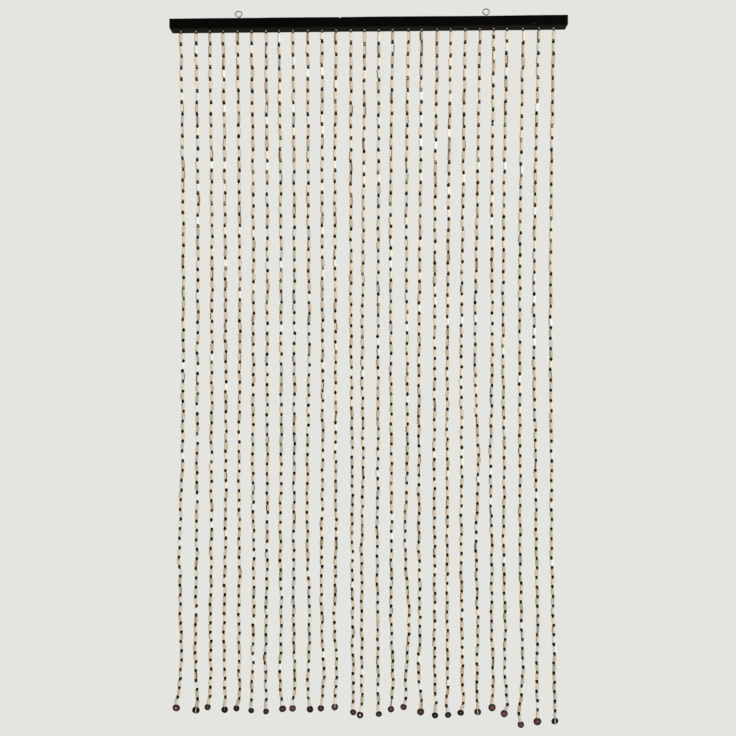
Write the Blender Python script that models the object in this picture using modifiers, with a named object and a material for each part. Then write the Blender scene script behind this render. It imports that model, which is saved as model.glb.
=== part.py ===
"""Bead curtain on its batten, modelled in metres with +Z up and its front towards -Y.

Twenty-seven strings of beads hang from holes drilled through a square black batten. Each
string comes up through its hole to a tape in a groove along the batten's top, and ends at its
foot in a round shell disc, which a knot behind it keeps on. Two screw eyes hold the batten up.
The origin is level with the inside of the tops of the two eyes, at mid-length of the batten.
"""

import math

import bmesh
import bpy
import numpy as np

# Batten
BATTEN_LENGTH = 0.899
BATTEN_DEPTH = 0.028
BATTEN_HEIGHT = 0.0217
BATTEN_TOP = -0.0199
BATTEN_FOOT = BATTEN_TOP - BATTEN_HEIGHT
EDGE_ROUND = 0.0009
HANG_TILT = math.radians(0.54)  # the right-hand end hangs higher

# Groove and tape along the batten's top
GROOVE_LENGTH = 0.874
GROOVE_WIDTH = 0.0070
GROOVE_DEPTH = 0.0030
GROOVE_FLOOR = BATTEN_TOP - GROOVE_DEPTH
TAPE_LENGTH = 0.872
TAPE_WIDTH = 0.0060
TAPE_THICKNESS = 0.0014
CLEARANCE = 0.0003  # between neighbouring pieces
CUTTER_EXTRA = 0.002  # by which a cutter stands out of what it cuts

# Screw eyes, as places along the batten
EYE_PLACES = {"eye_left": -0.295, "eye_right": 0.267}
EYE_WIRE_RADIUS = 0.0012
EYE_HALF_WIDTH = 0.0078  # of the loop, to the middle of the wire
EYE_UPPER_HEIGHT = 0.0064  # from the widest place up to the top
EYE_LOWER_HEIGHT = 0.0076  # from the widest place down to the neck
EYE_LOWER_POWER = 1.35  # 1 makes straight lower sides, 2 makes round ones
EYE_CENTRE = EYE_WIRE_RADIUS - EYE_UPPER_HEIGHT
EYE_LOOP_POINTS = 24
EYE_LOOP_START = -0.46 * math.pi  # where on the loop its wire begins
EYE_LOOP_TURN = 1.87 * math.pi  # how far round it goes, short of closing on itself
EYE_NECK_DROP = 0.0008  # of the straight shank's top below the loop
EYE_SHANK_DEPTH = 0.012  # below the groove's floor
BORE_RADIUS = 0.0017
BORE_SIDES = 10

# Strings and their holes
STRING_COUNT = 27
FIRST_STRING = -0.4278
STRING_PITCH = 0.0327
HOLE_RADIUS = 0.0017
HOLE_SIDES = 8
ROOT_RADIUS = 0.0009  # of the string inside its hole
BEAD_RADIUS = 0.0040  # of the beaded length
BEADS_START = BATTEN_FOOT - 0.0013
STEP = 0.0001  # length over which a string changes its girth

# Beads along a string: a tube and a dark bead make one pitch, longest near the batten
DARK_BEADS = 65
PITCH_AT_TOP = 0.0276
PITCH_AT_FOOT = 0.0209
PITCH_POWER = 1.8
FIRST_PITCH_SHARE = 1.12  # of the first pitch, which holds one bead more
LAST_PITCH_SHARE = 0.90  # of the last, which is a tube alone
JOINTS_PER_BEND = 3
WANDER_AT_TOP = 0.0009
WANDER_GROWTH = 0.00045  # for each metre down
LONG_WAVE = (47.0, 2.9)  # angle gained by each metre of height and by each string
SHORT_WAVE = (102.0, 1.7)
LONG_WAVE_SHARE = 0.6
DEPTH_PHASE = 1.3  # puts the wander in depth out of step with the sideways one

# Discs
DISC_LEVEL = -1.590  # of the middle of an average disc
DISC_THICKNESS = 0.0022
DISC_HOLE_RADIUS = 0.0013
DISC_SIDES = 16
TAIL_RADIUS = 0.0006
KNOT_RADIUS = 0.0017
KNOT_LENGTH = 0.0016
TAIL_TURN_START = 0.0009  # from the middle of the disc, where the tail leaves its front
TAIL_TURN_STEP = 0.0003
DISC_FRONT = TAIL_RADIUS + CLEARANCE
DISC_BACK = DISC_FRONT + DISC_THICKNESS

# How each string hangs, in millimetres, from the left. hole is how far the hole lies off an even
# spacing. The string's sideways places at the six levels, named as on a body from the chest down
# to the heel, and at its last dark bead (foot) are counted from its hole. swing is the disc's
# place from that bead, drop how much lower than average the disc hangs, and disc its diameter.
LEVELS = (-0.443, -0.818, -1.040, -1.204, -1.420, -1.508)
SWAYS = ("chest", "waist", "hip", "knee", "ankle", "heel", "foot")
COLUMNS = ("hole", *SWAYS, "swing", "drop", "disc")
STRINGS = (
    (1, 5, 5, 3, -3, 0, 0, -7, -4, -5, 17.5),
    (3, 4, 3, 2, 1, -1, -1, 3, -4, 0, 17.5),
    (1, 5, 5, 4, 4, 2, 3, 1, -6, -7, 14.5),
    (-1, 4, 6, 6, 5, 2, 3, 5, -2, -1, 15.5),
    (-1, 4, 5, 3, 4, 3, 4, 4, -7, -4, 14.5),
    (-2, 4, 4, 3, 5, 4, 2, 0, -1, 1, 14),
    (-2, 3, 3, 3, 3, 0, -1, 1, -1, 3, 13.5),
    (-5, 4, 5, 5, 3, 5, 2, 6, 2, -3, 16.5),
    (-6, 3, 3, 3, 2, 2, 4, 1, -2, -4, 15.5),
    (-5, 1, 3, -1, -1, 4, 1, 1, 4, -2, 15.5),
    (-5, 0, 1, 1, -1, 0, 4, 1, -4, -4, 15),
    (-6, -3, -1, -1, 0, -3, 2, -2, -1, -7, 15.5),
    (-5, 0, 1, 3, 3, 4, 5, 5, 0, 5, 14.5),
    (-7, -2, -5, -3, -6, -6, -6, -6, -4, 11, 15.5),
    (-7, -1, -2, -2, -4, -2, -2, -1, 1, 9, 14.5),
    (-8, -5, -4, -3, -3, -3, 1, -2, -2, -2, 15),
    (-5, -5, -3, -3, -8, 1, -6, -6, -5, -7, 15),
    (-8, -3, -6, -6, -6, -4, -7, 0, -2, 4, 16.5),
    (-5, -5, -6, -7, -6, -6, -6, -2, -3, 12, 15),
    (-7, -5, -8, -8, -8, -8, -7, -10, 4, 11, 15),
    (-7, -5, -9, -8, -9, -7, -6, -4, -6, 6, 15.5),
    (-6, -6, -11, -4, -9, -5, -7, -7, 2, 4, 16),
    (-7, -5, -4, -8, -5, -5, -2, -3, -1, -6, 17.5),
    (-10, -7, -9, -6, -8, -4, -5, 1, -7, 8, 16.5),
    (-6, -6, -8, -7, -7, -3, -1, -10, 5, 33, 15),
    (-3, -9, -11, -7, -6, -3, -5, -3, 0, 26, 18),
    (-2, -6, -7, -5, -5, 0, 1, 3, 0, 25, 16.5),
)
MM = 0.001

FINISHES = {
    "black_paint": ((0.010, 0.009, 0.008, 1), 0.45, 0.0),
    "steel": ((0.42, 0.42, 0.40, 1), 0.35, 1.0),
    "bamboo": ((0.76, 0.66, 0.50, 1), 0.55, 0.0),
    "shell": ((0.10, 0.045, 0.030, 1), 0.30, 0.0),
}


def clear_scene():
    for item in list(bpy.data.objects):
        bpy.data.objects.remove(item, do_unlink=True)


def make_collection(name):
    collection = bpy.data.collections.new(name)
    bpy.context.scene.collection.children.link(collection)
    return collection


def make_material(name):
    colour, roughness, metallic = FINISHES[name]
    material = bpy.data.materials.new(name)
    material.use_nodes = True
    shader = material.node_tree.nodes["Principled BSDF"]
    shader.inputs["Base Color"].default_value = colour
    shader.inputs["Roughness"].default_value = roughness
    shader.inputs["Metallic"].default_value = metallic
    return material


def add_object(name, data, collection, material=None):
    item = bpy.data.objects.new(name, data)
    collection.objects.link(item)
    if material is not None:
        data.materials.append(material)
    return item


def hide_as_cutter(item):
    item.hide_render = True
    item.display_type = "WIRE"


def make_box(name, size, centre, collection, material=None):
    """A box of the given size, built around its own middle."""
    mesh = bpy.data.meshes.new(name)
    shape = bmesh.new()
    bmesh.ops.create_cube(shape, size=1.0)
    bmesh.ops.scale(shape, vec=size, verts=shape.verts)
    shape.to_mesh(mesh)
    shape.free()
    item = add_object(name, mesh, collection, material)
    item.location = centre
    return item


def make_peg(name, radius, sides, top, foot, place, collection):
    """An upright round cutter between two levels."""
    mesh = bpy.data.meshes.new(name)
    shape = bmesh.new()
    bmesh.ops.create_cone(
        shape, cap_ends=True, segments=sides, radius1=radius, radius2=radius, depth=top - foot
    )
    shape.to_mesh(mesh)
    shape.free()
    item = add_object(name, mesh, collection)
    item.location = (place, 0.0, (top + foot) / 2)
    hide_as_cutter(item)
    return item


def cut(item, cutter, operation="DIFFERENCE"):
    modifier = item.modifiers.new(cutter.name, "BOOLEAN")
    modifier.operation = operation
    modifier.solver = "EXACT"
    modifier.object = cutter


def make_wire(name, splines, bevel_radius, bevel_resolution, collection, material=None):
    """A curve with a straight run between points, each given as x, y, z and its own girth."""
    curve = bpy.data.curves.new(name, "CURVE")
    curve.dimensions = "3D"
    curve.bevel_depth = bevel_radius
    curve.bevel_resolution = bevel_resolution
    curve.use_fill_caps = True
    for points in splines:
        spline = curve.splines.new("POLY")
        spline.points.add(len(points) - 1)
        for point, (x, y, z, girth) in zip(spline.points, points):
            point.co = (x, y, z, 1.0)
            point.radius = girth
    return add_object(name, curve, collection, material)


def as_mesh(curve_object, collection):
    """The curve's surface as a mesh with its caps welded on, in the curve's place."""
    bpy.context.view_layer.update()
    evaluated = curve_object.evaluated_get(bpy.context.evaluated_depsgraph_get())
    mesh = bpy.data.meshes.new_from_object(evaluated)
    shape = bmesh.new()
    shape.from_mesh(mesh)
    bmesh.ops.remove_doubles(shape, verts=shape.verts, dist=0.00001)
    shape.to_mesh(mesh)
    shape.free()
    name = curve_object.name
    place = curve_object.matrix_world.copy()
    bpy.data.objects.remove(curve_object, do_unlink=True)
    item = add_object(name, mesh, collection)
    item.matrix_world = place
    return item


def hung(along, level):
    """World x and z of a point of the tilted batten, from its place along the batten."""
    x = along * math.cos(HANG_TILT) - level * math.sin(HANG_TILT)
    z = along * math.sin(HANG_TILT) + level * math.cos(HANG_TILT)
    return x, z


def string_row(number):
    """The table's row for a string, as metres by column name."""
    return {name: value * MM for name, value in zip(COLUMNS, STRINGS[number])}


def hole_place(number):
    return FIRST_STRING + number * STRING_PITCH + string_row(number)["hole"]


def disc_centre(number):
    """World x and z of the middle of a string's disc."""
    row = string_row(number)
    x, _ = hung(hole_place(number), BATTEN_FOOT)
    return x + row["foot"] + row["swing"], DISC_LEVEL - row["drop"]


def joint_levels(top, foot):
    """World heights of the dark beads of a string whose beads reach from top to foot."""
    share = np.arange(DARK_BEADS + 1) / DARK_BEADS
    pitches = PITCH_AT_FOOT + (PITCH_AT_TOP - PITCH_AT_FOOT) * (1 - share) ** PITCH_POWER
    pitches[0] *= FIRST_PITCH_SHARE
    pitches[-1] *= LAST_PITCH_SHARE
    fall = np.cumsum(pitches) / pitches.sum()
    return top + (foot - top) * fall[:-1]


def smooth_curve(levels, places, at):
    """Cubic pieces through the places, each with the slope that its neighbours give it."""
    slopes = np.gradient(places, levels)
    piece = np.clip(np.searchsorted(-levels, -at) - 1, 0, len(levels) - 2)
    width = levels[piece + 1] - levels[piece]
    rise = places[piece + 1] - places[piece]
    share = (at - levels[piece]) / width
    leaving = slopes[piece] * width - rise
    arriving = rise - slopes[piece + 1] * width
    bend = share * (1 - share) * ((1 - share) * leaving + share * arriving)
    return places[piece] + share * rise + bend


def wander(number, level, phase):
    """A small sideways step that grows downwards, from two waves that never fall into step."""
    size = WANDER_AT_TOP + WANDER_GROWTH * -level
    short = np.sin(SHORT_WAVE[0] * level + SHORT_WAVE[1] * number + phase)
    long = np.sin(LONG_WAVE[0] * level + LONG_WAVE[1] * number)
    return size * (short + LONG_WAVE_SHARE * long) / (1 + LONG_WAVE_SHARE)


def string_points(number):
    """The run of one string, from the tape down to the knot behind its disc."""
    row = string_row(number)
    place = hole_place(number)
    root_x, root_z = hung(place, GROOVE_FLOOR + CLEARANCE + TAPE_THICKNESS / 2)
    hole_x, hole_z = hung(place, BATTEN_FOOT)
    start_z = hole_z - (BATTEN_FOOT - BEADS_START)
    disc_x, disc_z = disc_centre(number)
    disc_radius = row["disc"] / 2

    joints = joint_levels(start_z, disc_z + disc_radius)
    levels = np.array([start_z, *LEVELS, joints[-1]])
    sways = np.array([0.0, *(row[name] for name in SWAYS)])
    bends = joints[JOINTS_PER_BEND - 1 : -1 : JOINTS_PER_BEND]
    bend_x = hole_x + smooth_curve(levels, sways, bends) + wander(number, bends, 0.0)
    bend_y = wander(number, bends, DEPTH_PHASE)
    last = (hole_x + row["foot"], 0.0, joints[-1])

    run = np.array([last[0] - disc_x, 0.0, last[2] - disc_z])
    run /= np.linalg.norm(run)
    hub = np.array([disc_x, 0.0, disc_z])
    back = np.array([0.0, 1.0, 0.0])
    tube_end = hub + run * (disc_radius + CLEARANCE + STEP)

    points = [
        (root_x, 0.0, root_z, ROOT_RADIUS),
        (hole_x, 0.0, hole_z, ROOT_RADIUS),
        (hole_x, 0.0, start_z, ROOT_RADIUS),
        (hole_x, 0.0, start_z - STEP, BEAD_RADIUS),
    ]
    points += [(x, y, z, BEAD_RADIUS) for x, y, z in zip(bend_x, bend_y, bends)]
    points.append((*last, BEAD_RADIUS))
    points.append((*tube_end, BEAD_RADIUS))
    points.append((*(tube_end - run * STEP), TAIL_RADIUS))
    points.append((*(hub + run * TAIL_TURN_START), TAIL_RADIUS))
    points.append((*(hub + (run + back) * TAIL_TURN_STEP), TAIL_RADIUS))
    points.append((*(hub + back * DISC_FRONT), TAIL_RADIUS))
    points.append((*(hub + back * (DISC_BACK + CLEARANCE)), TAIL_RADIUS))
    points.append((*(hub + back * (DISC_BACK + CLEARANCE + STEP)), KNOT_RADIUS))
    points.append((*(hub + back * (DISC_BACK + CLEARANCE + KNOT_LENGTH)), KNOT_RADIUS))
    return points


def eye_points():
    """The eye's wire: up the shank, round the loop and back to the neck.

    The loop's upper half is half an ellipse. Its lower half follows |x|^p + |z|^p = 1 with a
    power between 1 and 2, which draws its sides in almost straight towards the neck.
    """
    share = np.arange(EYE_LOOP_POINTS) / (EYE_LOOP_POINTS - 1)
    angles = EYE_LOOP_START + EYE_LOOP_TURN * share
    across, up = np.cos(angles), np.sin(angles)
    power = np.where(up < 0, 2 / EYE_LOWER_POWER, 1.0)
    height = np.where(up < 0, EYE_LOWER_HEIGHT, EYE_UPPER_HEIGHT)
    x = EYE_HALF_WIDTH * np.sign(across) * np.abs(across) ** power
    z = EYE_CENTRE + height * np.sign(up) * np.abs(up) ** power
    neck = EYE_CENTRE - EYE_LOWER_HEIGHT - EYE_NECK_DROP
    points = [(0.0, 0.0, GROOVE_FLOOR - EYE_SHANK_DEPTH, 1.0), (0.0, 0.0, neck, 1.0)]
    points += [(px, 0.0, pz, 1.0) for px, pz in zip(x, z)]
    return points


def make_eye(name, place, collection, material, parent):
    eye = make_wire(name, [eye_points()], EYE_WIRE_RADIUS, 2, collection, material)
    eye.location.x = place
    eye.parent = parent
    return eye


def make_batten(collection, cutters, material, parent):
    """The bar with its groove, a hole for each string and a bore for each eye."""
    size = (BATTEN_LENGTH, BATTEN_DEPTH, BATTEN_HEIGHT)
    middle = (0.0, 0.0, BATTEN_TOP - BATTEN_HEIGHT / 2)
    batten = make_box("batten", size, middle, collection, material)
    batten.parent = parent
    edges = batten.modifiers.new("eased edges", "BEVEL")
    edges.width = EDGE_ROUND
    edges.segments = 2

    groove = make_box(
        "groove",
        (GROOVE_LENGTH, GROOVE_WIDTH, GROOVE_DEPTH + CUTTER_EXTRA),
        (0.0, 0.0, GROOVE_FLOOR + (GROOVE_DEPTH + CUTTER_EXTRA) / 2),
        cutters,
    )
    hide_as_cutter(groove)
    groove.parent = parent
    cut(batten, groove)

    top = GROOVE_FLOOR + GROOVE_DEPTH / 2
    holes = bpy.data.meshes.new("string holes")
    shape = bmesh.new()
    for number in range(STRING_COUNT):
        made = bmesh.ops.create_cone(
            shape,
            cap_ends=True,
            segments=HOLE_SIDES,
            radius1=HOLE_RADIUS,
            radius2=HOLE_RADIUS,
            depth=top - BATTEN_FOOT + CUTTER_EXTRA,
        )
        middle = (hole_place(number), 0.0, (top + BATTEN_FOOT - CUTTER_EXTRA) / 2)
        bmesh.ops.translate(shape, vec=middle, verts=made["verts"])
    shape.to_mesh(holes)
    shape.free()
    drill = add_object("string holes", holes, cutters)
    hide_as_cutter(drill)
    drill.parent = parent
    cut(batten, drill)
    return batten


def bore_for_eyes(pieces, cutters, parent):
    """Room for each eye's shank in the batten and through the tape."""
    for name, place in EYE_PLACES.items():
        bore = make_peg(
            "bore of " + name,
            BORE_RADIUS,
            BORE_SIDES,
            BATTEN_TOP + CUTTER_EXTRA,
            GROOVE_FLOOR - EYE_SHANK_DEPTH - CLEARANCE,
            place,
            cutters,
        )
        bore.parent = parent
        for piece in pieces:
            cut(piece, bore)


def make_strings(collection, cutters, material, parent):
    """The tape with all the strings fused into it."""
    runs = [string_points(number) for number in range(STRING_COUNT)]
    strings = as_mesh(make_wire("string runs", runs, 1.0, 0, cutters), cutters)
    hide_as_cutter(strings)
    tape = make_box(
        "bead_strings",
        (TAPE_LENGTH, TAPE_WIDTH, TAPE_THICKNESS),
        (0.0, 0.0, GROOVE_FLOOR + CLEARANCE + TAPE_THICKNESS / 2),
        collection,
        material,
    )
    tape.parent = parent
    cut(tape, strings, "UNION")
    return tape


def make_disc(number, collection, material):
    """A flat drilled disc, turned about the Y axis from a four-cornered profile."""
    name = f"disc_{number + 1:02d}"
    rim = string_row(number)["disc"] / 2
    half = DISC_THICKNESS / 2
    corners = [
        (DISC_HOLE_RADIUS, -half, 0.0),
        (DISC_HOLE_RADIUS, half, 0.0),
        (rim, half, 0.0),
        (rim, -half, 0.0),
    ]
    mesh = bpy.data.meshes.new(name)
    mesh.from_pydata(corners, [(0, 1), (1, 2), (2, 3), (3, 0)], [])
    disc = add_object(name, mesh, collection, material)
    x, z = disc_centre(number)
    disc.location = (x, (DISC_FRONT + DISC_BACK) / 2, z)
    turn = disc.modifiers.new("turn", "SCREW")
    turn.axis = "Y"
    turn.steps = DISC_SIDES
    turn.render_steps = DISC_SIDES
    turn.use_merge_vertices = True
    turn.merge_threshold = 0.00001
    turn.use_smooth_shade = False
    return disc


def main():
    clear_scene()
    curtain = make_collection("bead curtain")
    cutters = make_collection("cutters")
    materials = {name: make_material(name) for name in FINISHES}

    hang_line = add_object("hang line", None, cutters)
    hang_line.rotation_euler.y = -HANG_TILT

    batten = make_batten(curtain, cutters, materials["black_paint"], hang_line)
    strings = make_strings(curtain, cutters, materials["bamboo"], hang_line)
    bore_for_eyes([batten, strings], cutters, hang_line)
    for name, place in EYE_PLACES.items():
        make_eye(name, place, curtain, materials["steel"], hang_line)
    for number in range(STRING_COUNT):
        make_disc(number, curtain, materials["shell"])


main()
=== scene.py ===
# %% [markdown]
# # A bead curtain on its batten
# The real curtain hangs in a doorway: a square black batten, two screw eyes to hang it by, and
# twenty-seven strings of pale tube beads with a small dark bead between each two. A round shell
# disc ends every string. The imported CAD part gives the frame, the places and the size. This script
# adds what a hand would feel: beads, cord, knots, turned discs, paint and worn edges.

import math

import bmesh
import bpy
import numpy as np
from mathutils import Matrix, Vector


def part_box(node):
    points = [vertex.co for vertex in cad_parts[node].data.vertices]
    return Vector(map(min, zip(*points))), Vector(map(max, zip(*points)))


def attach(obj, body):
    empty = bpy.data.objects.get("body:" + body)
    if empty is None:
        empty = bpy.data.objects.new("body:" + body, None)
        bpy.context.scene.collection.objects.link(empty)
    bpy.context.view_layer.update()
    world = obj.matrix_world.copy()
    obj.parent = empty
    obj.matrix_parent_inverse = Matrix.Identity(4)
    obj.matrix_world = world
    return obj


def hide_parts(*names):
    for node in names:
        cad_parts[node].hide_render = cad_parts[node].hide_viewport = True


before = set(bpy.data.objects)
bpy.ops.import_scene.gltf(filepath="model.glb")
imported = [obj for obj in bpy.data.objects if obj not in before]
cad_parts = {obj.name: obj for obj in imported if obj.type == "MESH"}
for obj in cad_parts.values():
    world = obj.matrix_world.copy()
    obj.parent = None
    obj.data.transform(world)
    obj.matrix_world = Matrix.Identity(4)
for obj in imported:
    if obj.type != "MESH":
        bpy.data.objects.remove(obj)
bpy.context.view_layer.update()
MM = 0.001

# %% [markdown]
# ## The camera
# The photograph looks straight at the curtain from a little over a metre and a half, so the
# batten's underside shows and its top doesn't. The picture is square: one angle does for both ways.

# %% Place the camera
CAMERA_PLACE = (-0.0012, -1.68, -0.8119)
HALF_PICTURE = 368.0
LENS_PIXELS = 739.4  # the distance to the picture plane, counted in its pixels

lens = bpy.data.cameras.new("camera")
lens.angle = 2 * math.atan(HALF_PICTURE / LENS_PIXELS)
lens.clip_start = 0.05
camera = bpy.data.objects.new("camera", lens)
camera.location = CAMERA_PLACE
camera.rotation_euler = (math.radians(90), 0.0, 0.0)
bpy.context.scene.collection.objects.link(camera)
bpy.context.scene.camera = camera
print("angle of view", round(math.degrees(lens.angle), 2))

# %% [markdown]
# ## Surfaces as grids
# Every new piece is a grid of points from a formula of two numbers: which ring or station the point
# is on, and how far round it lies. Each face joins a point to its next neighbours. Hundreds of
# beads are then one formula with one more number, the bead's own.

# %% Grids and their faces
def grid_faces(rows, columns, closed_rows=False, closed_columns=False):
    """Quads of a grid whose point (row, column) has the number row * columns + column.

    A closed direction runs on from its last line to its first.
    """
    row = np.arange(rows if closed_rows else rows - 1)[:, None]
    column = np.arange(columns if closed_columns else columns - 1)[None, :]
    below = (row + 1) % rows
    beside = (column + 1) % columns
    corners = ((row, column), (row, beside), (below, beside), (below, column))
    return np.stack([(down * columns + across).ravel() for down, across in corners], axis=1)


def copies_of(faces, copies, points_each):
    """The same quads for each copy of a grid: copy k counts on by k times one grid's points."""
    steps = np.arange(copies)[:, None, None] * points_each
    return (faces[None] + steps).reshape(-1, 4)


def outwards(points, faces):
    """Turns all the quads round when the volume they close, the sum of a . (b x c) / 6, is negative."""
    a, b, c, d = (points[faces[:, corner]] for corner in range(4))
    volume = (a * np.cross(b, c)).sum() + (a * np.cross(c, d)).sum()
    return faces if volume > 0 else faces[:, ::-1]


# %% [markdown]
# ## From grid to piece
# A piece is a mesh that rides on the imported body, takes the finish it is given and may stand for a
# CAD node. Marks are numbers kept at the points, such as how far out on a disc a point lies, and the
# finishes read them.

# %% Make a piece
WELD = 0.000002


def close_up(mesh):
    """Merges points that share a place, such as a cap's, and points all faces outwards."""
    shape = bmesh.new()
    shape.from_mesh(mesh)
    bmesh.ops.remove_doubles(shape, verts=shape.verts, dist=WELD)
    bmesh.ops.recalc_face_normals(shape, faces=shape.faces)
    shape.to_mesh(mesh)
    shape.free()


def make_piece(name, points, faces, finish, stands_for, marks=None, weld=False, crease=40):
    points = points.reshape(-1, 3)
    mesh = bpy.data.meshes.new(name)
    mesh.from_pydata(points.tolist(), [], outwards(points, faces).tolist())
    for mark, values in (marks or {}).items():
        layer = mesh.attributes.new(mark, "FLOAT", "POINT")
        layer.data.foreach_set("value", np.ascontiguousarray(values, dtype=np.float32).ravel())
    if weld:
        close_up(mesh)
    mesh.shade_smooth()
    mesh.set_sharp_from_angle(angle=math.radians(crease))
    mesh.materials.append(finish)
    piece = bpy.data.objects.new(name, mesh)
    bpy.context.scene.collection.objects.link(piece)
    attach(piece, "root")
    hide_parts(*stands_for)
    print(name, len(mesh.polygons), "faces")


# %% [markdown]
# ## Tubes along a path
# Cord, knots and wire are all a ring carried along a path. At each station the ring lies square to
# the path, and one fixed direction that the path never runs along keeps the rings from twisting.

# %% Carry a ring along a path
def lengthwise(vectors):
    """Each vector divided by its own length."""
    return vectors / np.linalg.norm(vectors, axis=-1, keepdims=True)


def ring_angles(sides):
    return 2 * math.pi * np.arange(sides) / sides


def rings_along(path, forward, girth, sides, reference):
    """Point (station, side) is path + girth * (cos(angle) * across + sin(angle) * over).

    across is square to forward and to the reference direction, over is square to both.
    path may hold many tubes of the same number of stations; girth is one number per station.
    """
    across = lengthwise(np.cross(forward, reference))
    over = np.cross(across, forward)
    angles = ring_angles(sides)[:, None]
    ring = across[..., None, :] * np.cos(angles) + over[..., None, :] * np.sin(angles)
    return path[..., None, :] + girth[..., None, None] * ring


def tube_along(path, girth, sides, reference):
    return rings_along(path, lengthwise(np.gradient(path, axis=-2)), girth, sides, reference)


def tube_faces(stations, sides, tubes=1, closed=False):
    return copies_of(grid_faces(stations, sides, closed, True), tubes, stations * sides)


def taper_shut(path, girth):
    """The path and its girths, closed by a ring of no width a hundredth of a mm past each end."""
    first = path[..., :1, :] - 0.01 * MM * lengthwise(path[..., 1:2, :] - path[..., :1, :])
    last = path[..., -1:, :] + 0.01 * MM * lengthwise(path[..., -1:, :] - path[..., -2:-1, :])
    widths = [girth[..., :1] * 0, girth, girth[..., -1:] * 0]
    return np.concatenate([first, path, last], axis=-2), np.concatenate(widths, axis=-1)


# %% [markdown]
# ## Writing finishes as formulas
# A material's nodes are easier to read as sums. This class wraps one socket, so that adding or
# multiplying two of them, or one and a number, adds the Math node that does it.

# %% Sockets that add up
def ink(red, green, blue):
    """The linear colour of a screen's 0 to 255 values, by the usual screen curve."""
    screen = np.array([red, green, blue]) / 255
    linear = np.where(screen <= 0.04045, screen / 12.92, ((screen + 0.055) / 1.055) ** 2.4)
    return (*linear.tolist(), 1.0)


class Wire:
    """A socket of a material. Sums of wires and numbers read as plain formulas."""

    def __init__(self, tree, socket):
        self.tree = tree
        self.socket = socket

    def plug(self, socket, value):
        if isinstance(value, Wire):
            self.tree.links.new(value.socket, socket)
        else:
            socket.default_value = value

    def node(self, kind, settings=None, inputs=None, output=0):
        """Any node: its settings first, then the values or wires of its sockets."""
        made = self.tree.nodes.new(kind)
        for key, value in (settings or {}).items():
            setattr(made, key, value)
        for key, value in (inputs or {}).items():
            self.plug(made.inputs[key], value)
        return Wire(self.tree, made.outputs[output])

    def maths(self, operation, first, second=0.0):
        return self.node("ShaderNodeMath", {"operation": operation}, {0: first, 1: second})

    def __add__(self, other):
        return self.maths("ADD", self, other)

    def __rsub__(self, other):
        return self.maths("SUBTRACT", other, self)

    def __mul__(self, other):
        return self.maths("MULTIPLY", self, other)

    __radd__ = __add__
    __rmul__ = __mul__

    def wave(self):
        return self.maths("SINE", self)

    def step(self, low, high):
        """0 below low, 1 above high and a smooth climb between them."""
        ends = {"Value": self, "From Min": low, "From Max": high}
        return self.node("ShaderNodeMapRange", {"interpolation_type": "SMOOTHSTEP"}, ends)


# %% [markdown]
# A finish starts as Blender's Principled shader. Values that are the same all over sit on the
# shader's own sockets, and only what changes over the surface is fed in as a wire. Patterns read
# Object coordinates, which stay put on the piece because every piece's object is at the origin.

# %% A finish and its patterns
class Finish:
    def __init__(self, name, fixed):
        self.material = bpy.data.materials.new(name)
        self.material.use_nodes = True
        tree = self.material.node_tree
        self.shader = tree.nodes["Principled BSDF"]
        for socket, value in fixed.items():
            self.shader.inputs[socket].default_value = value
        self.start = Wire(tree, self.shader.outputs[0])

    def places(self, stretch=(1.0, 1.0, 1.0), turn=(0.0, 0.0, 0.0)):
        """Object coordinates, turned and stretched."""
        raw = self.start.node("ShaderNodeTexCoord", output="Object")
        inputs = {"Vector": raw, "Scale": stretch, "Rotation": turn}
        return self.start.node("ShaderNodeMapping", inputs=inputs)

    def axis(self, places, letter):
        return self.start.node("ShaderNodeSeparateXYZ", inputs={0: places}, output=letter)

    def mark(self, name):
        return self.start.node("ShaderNodeAttribute", {"attribute_name": name}, output="Fac")

    def noise(self, places, scale, detail=2.0, roughness=0.5):
        inputs = {"Vector": places, "Scale": scale, "Detail": detail, "Roughness": roughness}
        return self.start.node("ShaderNodeTexNoise", inputs=inputs)

    def mix(self, share, first, second, blend="MIX"):
        """A colour between two, or their product when blend is MULTIPLY."""
        inputs = {0: share, 6: first, 7: second}
        settings = {"data_type": "RGBA", "blend_type": blend}
        return self.start.node("ShaderNodeMix", settings, inputs, output=2)

    def bump(self, height, distance, strength=1.0):
        inputs = {"Height": height, "Distance": distance, "Strength": strength}
        return self.start.node("ShaderNodeBump", inputs=inputs)

    def coat(self, colour, *coats):
        """Lays coats over a colour. Each is a share and the colour that it brings."""
        for share, over in coats:
            colour = self.mix(share, colour, over)
        return colour

    def feed(self, colour, **wires):
        for socket, value in {"Base Color": colour, **wires}.items():
            self.start.plug(self.shader.inputs[socket], value)
        return self.material


# %% [markdown]
# ## Where each string hangs
# The holes are drilled at nearly even steps, and each string then hangs in its own slight curve.
# The table gives, in millimetres, how far each hole is off an even step and where the string is,
# counted from its hole, at seven heights named as on a body. Most of its numbers were measured in
# the photograph by a script and rounded to whole millimetres; some holes and feet were read by eye.
# A smooth curve of cubic pieces runs through these places. The discs' places come from the packed
# part.

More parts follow.
